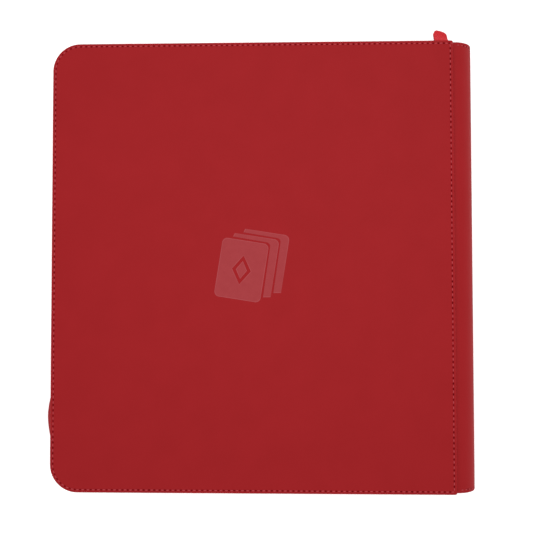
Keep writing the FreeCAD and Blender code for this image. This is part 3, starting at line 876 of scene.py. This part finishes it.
PLATE, PLATE_ROUND, PLATE_GAP, COIL_DEPTH = 1.0 * mm, 0.45 * mm, 0.3 * mm, 1.8 * mm
WEB_HALF, WEB_IN, WEB_OUT, WEB_TALL, WEB_ROUND = 2.5 * mm, 2.5 * mm, 0.7 * mm, 0.2 * mm, 0.1 * mm
CROWN, CROWN_WIRE, CROWN_PAST = 1.35 * mm, 0.44 * mm, 0.45


def slider():
    """Two plates, one on each side of the coil, the web between them and the crown for the pull."""
    low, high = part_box("zip_slider")
    x, z = (low.x + high.x) / 2, CLOSED / 2
    parts = Parts()
    half_length, half_tall = (high.x - low.x) / 2, (high.z - low.z) / 2
    for y in (COIL_OUT + PLATE_GAP, COIL_OUT - COIL_DEPTH - PLATE_GAP - PLATE):
        near, far = (x - half_length, y, z - half_tall), (x + half_length, y + PLATE, z + half_tall)
        parts.add(*rounded_block(near, far, PLATE_ROUND))
    near = (x - WEB_HALF, COIL_OUT - WEB_IN, z - WEB_TALL)
    far = (x + WEB_HALF, COIL_OUT + WEB_OUT, z + WEB_TALL)
    parts.add(*rounded_block(near, far, WEB_ROUND))
    arch = [
        (PULL_PIVOT.x + CROWN * math.cos(t), PULL_PIVOT.y + CROWN * math.sin(t), z)
        for t in np.linspace(-CROWN_PAST, math.pi + CROWN_PAST, 18)
    ]
    parts.add(*tube(arch, (0, 0, 1), CROWN_WIRE, 8))
    made = parts.piece("zip_slider_body", lacquer)
    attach(made, "zip_slider")
    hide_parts("zip_slider")


def pull_frame():
    """Directions of the pull tab: along its bar, away from the slider, and up."""
    side = RIBBON_AXIS.normalized()
    up = Vector((0, 0, 1))
    return side, up.cross(side), up


PIN_HALF, PIN_RADIUS = 1.7 * mm, 0.5 * mm
ARM, ARM_ROUND, YOKE_NEAR, YOKE_FAR, YOKE_ROUND = 0.6 * mm, 0.2 * mm, 2.2 * mm, 3.2 * mm, 0.25 * mm
BAIL_NEAR, BAIL_HALF, BAIL_WIRE, BAIL_SQUARE = 2.7 * mm, 7.1 * mm, 0.56 * mm, 0.28


def pull_tab():
    """A pin through the crown, two arms, a yoke and a squarish wire bail for the ribbon."""
    side, out, up = pull_frame()
    parts = Parts()

    def put(points, faces):
        moved = [PULL_PIVOT + side * p[0] + out * p[1] + up * p[2] for p in map(Vector, points)]
        parts.add(moved, faces)

    pin = [(0, 0, z) for z in np.linspace(-PIN_HALF, PIN_HALF, 6)]
    put(*tube(pin, (1, 0, 0), PIN_RADIUS, 10))
    for z in (-PIN_HALF, PIN_HALF - ARM):
        put(*rounded_block((-PIN_RADIUS, 0, z), (PIN_RADIUS, YOKE_FAR, z + ARM), ARM_ROUND))
    near, far = (-PIN_RADIUS, YOKE_NEAR, -PIN_HALF), (PIN_RADIUS, YOKE_FAR, PIN_HALF)
    put(*rounded_block(near, far, YOKE_ROUND))
    reach = (RIBBON_BAR - PULL_PIVOT).length
    bail = []
    for t in np.linspace(0, 2 * math.pi, 49):
        c, s = math.cos(t), math.sin(t)
        x = BAIL_HALF * math.copysign(abs(c) ** BAIL_SQUARE, c)
        y = (reach - BAIL_NEAR) / 2 * math.copysign(abs(s) ** BAIL_SQUARE, s)
        bail.append((x, (BAIL_NEAR + reach) / 2 + y, 0))
    put(*tube(bail, (0, 0, 1), BAIL_WIRE, 8, closed_ends=False))
    made = parts.piece("zip_pull_bail", lacquer)
    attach(made, "zip_pull")
    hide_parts("zip_pull")


RIBBON_DROOP = math.radians(30)
RIBBON_HALF = 5.5 * mm
RIBBON_SHIFT = 0.3 * mm
RIBBON_LEAN = 0.10
RIBBON_LENGTH = 12.0 * mm
RIBBON_PLY = 0.75 * mm
RIBBON_FOLD = 1.25 * mm
PLY_HEIGHT = 0.43 * mm
RIBBON_WAVE = 0.22 * mm
LOWER_PLY_SHORT = 0.5 * mm
FOLD_FROM, FOLD_TO = 262, 98
# the ribbon's uneven tip: places across it, and how far short of its length it ends there, in mm
TIP_ACROSS = (-1.0, -0.9, -0.7, -0.45, 0.0, 0.4, 0.7, 0.9, 1.0)
TIP_SHORT = (4.4, 3.1, 1.0, 0.0, 0.4, 1.0, 1.9, 3.4, 5.0)


def ribbon():
    """A woven ribbon folded round the bar into two plies, with an uneven tip."""
    side, out, up = pull_frame()
    forward = out * math.cos(RIBBON_DROOP) - up * math.sin(RIBBON_DROOP)
    above = up * math.cos(RIBBON_DROOP) + out * math.sin(RIBBON_DROOP)

    def middle_line(reach):
        """The folded ribbon's middle from the lower ply's tip to the upper's: place and normal."""
        shares = np.linspace(1.0, 0.05, 18)
        line = []
        for share in shares:
            line.append(((reach - LOWER_PLY_SHORT) * share, -ply_height(share), 0, -1))
        for turn in np.radians(np.linspace(FOLD_FROM, FOLD_TO, 13)):
            c, s = math.cos(turn), math.sin(turn)
            line.append((RIBBON_FOLD * c, RIBBON_FOLD * s, c, s))
        for share in shares[::-1]:
            line.append((reach * share, ply_height(share), 0, 1))
        return line

    def ply_height(share):
        return RIBBON_FOLD - (RIBBON_FOLD - PLY_HEIGHT) * min(1, share / 0.35) ** 0.7

    points, place = [], []
    across = np.linspace(-1, 1, 33)
    for u in across:
        line = middle_line(RIBBON_LENGTH - np.interp(u, TIP_ACROSS, TIP_SHORT) * mm)
        half = RIBBON_PLY / 2 * (1 - max(0, abs(u) - 0.9) * 3.5)
        lengths = lengths_along(line)
        loop = [(*one, s, half) for one, s in zip(line, lengths)]
        loop += [(*one, s, -half) for one, s in zip(line[::-1], lengths[::-1])]
        for along, height, nx, nz, s, shift in loop:
            share = along / RIBBON_LENGTH
            wave = RIBBON_WAVE * math.sin(3.1 * u + 9 * share) * share
            along, height = along + nx * shift, height + nz * shift + wave
            aside = u * RIBBON_HALF + RIBBON_SHIFT - along * RIBBON_LEAN
            points.append(RIBBON_BAR + side * aside + forward * along + above * height)
            place.append((u * RIBBON_HALF, s, 0))
    columns = len(points) // len(across)
    faces = quads(len(across), columns, wrap_columns=True)
    for row in (0, len(across) - 1):
        cap = [
            (row * columns + k, row * columns + k + 1,
             (row + 1) * columns - 2 - k, (row + 1) * columns - 1 - k)
            for k in range(columns // 2 - 1)
        ]
        faces += turned(cap, row > 0)
    band = piece("pull_ribbon_loop", points, faces, ribbon_cloth, sharp=60, along=place)
    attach(band, "pull_ribbon")
    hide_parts("pull_ribbon")


slider()
pull_tab()
ribbon()

# ---- linings and pages
PAGE_LOW, PAGE_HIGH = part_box("page_01")
COLUMNS, ROWS = 4, 3
POCKET = (66.5 * mm, 93.0 * mm)
COLUMN_PITCH, ROW_PITCH = 69.5 * mm, 96.0 * mm
OUTER_MARGIN = 7.5 * mm
PAGE_CORNER = 5 * mm
PAGE_EDGE = ((0.25, -0.2), (0.0, -0.08), (0.0, 0.08), (0.25, 0.2))  # inset and height, in mm
FILM_LOW, FILM_HIGH, FILM_DOME = 0.15 * mm, 0.2 * mm, 0.12 * mm
WELD_HIGH, WELD_HALF, WELD_PAST = 0.235 * mm, 0.5 * mm, 3 * mm
LINING_PROFILE = (  # inset and height above the board's inner side, in mm
    (1.25, -0.38), (1.2, -0.15), (1.45, -0.04), (2.2, 0.0), (6.0, 0.0), (22, 0.0), (60, 0.0),
    (100, 0.0), (140, 0.0),
)


def cover_lining(side):
    """Cloth stretched over the inner side of the board, tucked in along its edge."""
    rings = [outline(inset * mm) for inset, _ in LINING_PROFILE]
    points = []
    for (_, height), ring in zip(LINING_PROFILE, rings):
        points += [(x, y, face_up(side, COVER_THICKNESS + height * mm)) for x, y in ring]
    faces = turned(loft(len(rings), len(rings[0]), flip=True), side == "front")
    place = [(x, y, 0) for x, y, _ in points]
    cloth = piece(f"{side}_cover_lining_cloth", points, faces, lining_cloth, along=place)
    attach(cloth, f"{side}_cover")
    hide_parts(f"{side}_cover_lining")


def page_mesh():
    """One page about z = 0: a backing sheet, and on each face a grid of pocket films."""
    parts = Parts()
    width = PAGE_HIGH.x - PAGE_LOW.x
    height = PAGE_HIGH.y - PAGE_LOW.y
    centre = (PAGE_HIGH.x + PAGE_LOW.x) / 2
    edge = card_outline(width, height, PAGE_CORNER, (centre, 0), 6)
    rings = []
    for inset, z in PAGE_EDGE:
        across, along = 1 - 2 * inset * mm / width, 1 - 2 * inset * mm / height
        rings += [(centre + (x - centre) * across, y * along, z * mm) for x, y in edge]
    parts.add(rings, loft(len(PAGE_EDGE), len(edge), flip=True))
    first_x = PAGE_LOW.x + OUTER_MARGIN
    first_y = -((ROWS - 1) * ROW_PITCH + POCKET[1]) / 2
    for column, row, face in itertools.product(range(COLUMNS), range(ROWS), (1, -1)):
        film(parts, first_x + column * COLUMN_PITCH, first_y + row * ROW_PITCH, face)
    for column in range(COLUMNS + 1):
        x = first_x - (COLUMN_PITCH - POCKET[0]) / 2 + column * COLUMN_PITCH
        end = height / 2 - PAGE_CORNER
        weld_bar(parts, (x - WELD_HALF, -end), (x + WELD_HALF, end))
    for row in range(ROWS + 1):
        y = first_y - (ROW_PITCH - POCKET[1]) / 2 + row * ROW_PITCH
        end = first_x + (COLUMNS - 1) * COLUMN_PITCH + POCKET[0] + WELD_PAST
        weld_bar(parts, (first_x - WELD_PAST, y - WELD_HALF), (end, y + WELD_HALF))
    return parts.piece("page_pattern", [page_backing, pocket_film, weld], sharp=50)


def film(parts, x0, y0, face):
    """A clear film welded on three sides, lifting a little along the open side by the spine."""
    rows, columns = 11, 9
    size = rows * columns
    top, bottom = [], []
    for v in np.linspace(0, 1, rows):
        for u in np.linspace(0, 1, columns):
            dome = (math.sin(math.pi * v) ** 0.5) * (math.sin(math.pi * min(u, 0.9) / 1.8) ** 0.5)
            x, y = x0 + u * POCKET[0], y0 + v * POCKET[1]
            top.append((x, y, face * (FILM_HIGH + FILM_DOME * dome)))
            bottom.append((x, y, face * FILM_LOW))
    faces = quads(rows, columns)
    rim = [*range(columns), *range(2 * columns - 1, size, columns)]
    rim += [*range(size - 2, size - columns - 1, -1), *range(size - 2 * columns, 0, -columns)]
    sides = [(a, a + size, b + size, b) for a, b in zip(rim, rim[1:] + rim[:1])]
    parts.add(top + bottom, turned(faces + sides, face < 0), 1)


def weld_bar(parts, low, high):
    for face in (1, -1):
        corners = (low, (high[0], low[1]), high, (low[0], high[1]))
        points = [(x, y, face * z) for z in (FILM_LOW, WELD_HIGH) for x, y in corners]
        faces = [(4, 5, 6, 7), (0, 1, 5, 4), (1, 2, 6, 5), (2, 3, 7, 6), (3, 0, 4, 7)]
        parts.add(points, turned(faces, face < 0), 2)


def page_level(number):
    low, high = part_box(f"page_{number:02d}")
    return (low.z + high.z) / 2


def pages():
    pattern = page_mesh()
    mesh = pattern.data
    bpy.data.objects.remove(pattern)
    for number in range(1, PAGE_COUNT + 1):
        leaf = put_in_scene(f"page_{number:02d}_leaf", mesh)
        leaf.location = (0, 0, page_level(number))
        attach(leaf, f"page_{number:02d}")
        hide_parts(f"page_{number:02d}")


GUTTER_THICKNESS = 0.3 * mm
GUTTER_PITCH = 0.35 * mm
GUTTER_LAP = 0.6 * mm


def gutters():
    """The flexible strips between the pages and the binding strip."""
    rows, steps = np.linspace(-STRIP_HIGH.y, STRIP_HIGH.y, 12), np.linspace(0, 1, 19)
    start = PAGE_HIGH.x - GUTTER_LAP
    run = STRIP_LOW.x - start
    for number in range(1, PAGE_COUNT + 1):
        at_page = page_level(number)
        at_spine = CLOSED / 2 + ((PAGE_COUNT + 1) / 2 - number) * GUTTER_PITCH
        points, place = [], []
        for y in rows:
            for face in (1, -1):
                for t in steps if face > 0 else steps[::-1]:
                    x = start + run * t
                    z = at_page + (at_spine - at_page) * (t * t * (3 - 2 * t))
                    points.append((x, y, z + face * GUTTER_THICKNESS / 2))
                    place.append((x, y, 0))
        faces = loft(len(rows), 2 * len(steps))
        strip = piece(f"page_{number:02d}_gutter", points, faces, page_backing, along=place)
        if number == 1:
            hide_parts("page_gutters")
        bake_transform(strip)


def binding_strip():
    """The cloth-covered strip on the middle slat that all the gutters are sewn into."""
    parts = Parts()
    parts.add(*rounded_block(STRIP_LOW, STRIP_HIGH, 0.7 * mm))
    heights = np.arange(STRIP_LOW.y + 4 * mm, STRIP_HIGH.y - 3 * mm, 6 * mm)
    for z, up in ((STRIP_LOW.z, -1), (STRIP_HIGH.z, 1)):
        x = (STRIP_LOW.x + STRIP_HIGH.x) / 2
        for y in heights:
            stitch(parts, np.array((x, y, z)), (0, 1, 0), (0, 0, up), 1.2, 1)
    strip = parts.piece("page_binding_cloth", [page_backing, black_thread])
    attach(strip, "spine_slat_3")
    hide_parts("page_binding_strip")


for cover_side in ("back", "front"):
    cover_lining(cover_side)
pages()
gutters()
binding_strip()

# ---- CAD pieces that stay in view
for name, finish in (
    ("back_cover_board", greyboard), ("front_cover_board", greyboard),
    ("back_zip_stops", lacquer), ("front_zip_stops", lacquer),
    *((f"spine_slat_{i}", black_plastic) for i in range(1, SLATS + 1)),
):
    nodes[name].data.materials.clear()
    nodes[name].data.materials.append(finish)

# ---- floor, light and camera
FLOOR_REACH = 4.0
floor_mesh = bpy.data.meshes.new("floor")
floor_corners = [(FLOOR_REACH * x, FLOOR_REACH * y, 0) for x, y in ((-1, -1), (1, -1), (1, 1), (-1, 1))]
floor_mesh.from_pydata(floor_corners, [], [(0, 1, 2, 3)])
floor_mesh.materials.append(new_material(
    "white_floor", Base_Color=(0.9, 0.9, 0.9, 1), Roughness=0.9, Emission_Color=(1, 1, 1, 1),
    Emission_Strength=0.35,
)[0])
put_in_scene("floor", floor_mesh)

world = bpy.data.worlds.new("studio")
world.use_nodes = True
background = world.node_tree.nodes["Background"].inputs
background["Color"].default_value = (1, 1, 1, 1)
background["Strength"].default_value = 1.0
bpy.context.scene.world = world

pool = bpy.data.lights.new("overhead_pool", "SPOT")
pool.energy = 54.0
pool.spot_size = math.radians(20)
pool.spot_blend = 1.0
pool.shadow_soft_size = 0.3
lamp = put_in_scene("overhead_pool", pool)
lamp.location = (0.15, 0.35, 1.5)
aim = Vector((0.02, 0.09, CLOSED)) - lamp.location
lamp.rotation_euler = aim.to_track_quat("-Z", "Y").to_euler()

camera_data = bpy.data.cameras.new("camera")
camera_data.sensor_width = 36.0
camera_data.lens = 48.0
camera_data.clip_start = 0.01
camera = put_in_scene("camera", camera_data)
camera.location = (0.0268, -0.0187, 0.599)
camera.rotation_euler = (math.radians(1.84), math.radians(1.55), math.radians(-0.063))
bpy.context.scene.camera = camera
bpy.context.scene.view_settings.view_transform = "Standard"
